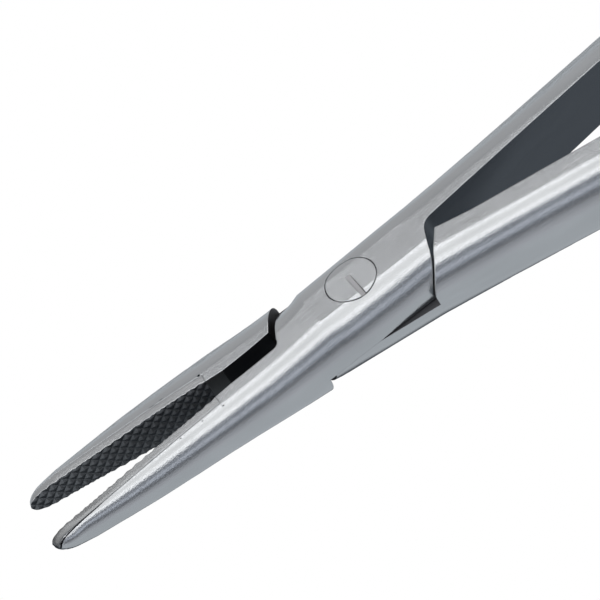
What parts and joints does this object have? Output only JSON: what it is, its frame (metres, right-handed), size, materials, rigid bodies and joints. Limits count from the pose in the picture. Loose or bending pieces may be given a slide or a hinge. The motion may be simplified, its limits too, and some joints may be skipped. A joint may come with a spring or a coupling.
{
  "type": "surgical needle holder",
  "caption": "Needle holder with short serrated jaws, a screwed lap joint, long shanks with ratchet bars, and finger rings.",
  "frame": {"origin": "on the pivot axis, at the flat back face of the joint", "axes": "+X from the jaws towards the finger rings, +Y towards the front half's finger ring, +Z along the pivot screw towards its slotted head"},
  "size_m": [0.1778, 0.0956, 0.0069],
  "materials": {
    "steel": "satin, brushed along the length",
    "hard_metal": "matt, ground and serrated",
    "screw_steel": "satin, ground flush with the joint"
  },
  "bodies": {
    "rear": {"rear_half": "steel", "rear_insert": "hard_metal", "pivot_screw": "screw_steel"},
    "front": {"front_half": "steel", "front_insert": "hard_metal"}
  },
  "joints": [
    {"name": "pivot", "type": "hinge", "parent": "rear", "child": "front", "pos_m": [0, 0, 0], "axis": [0, 0, 1], "range_deg": [-8.6, 21.4]}
  ]
}
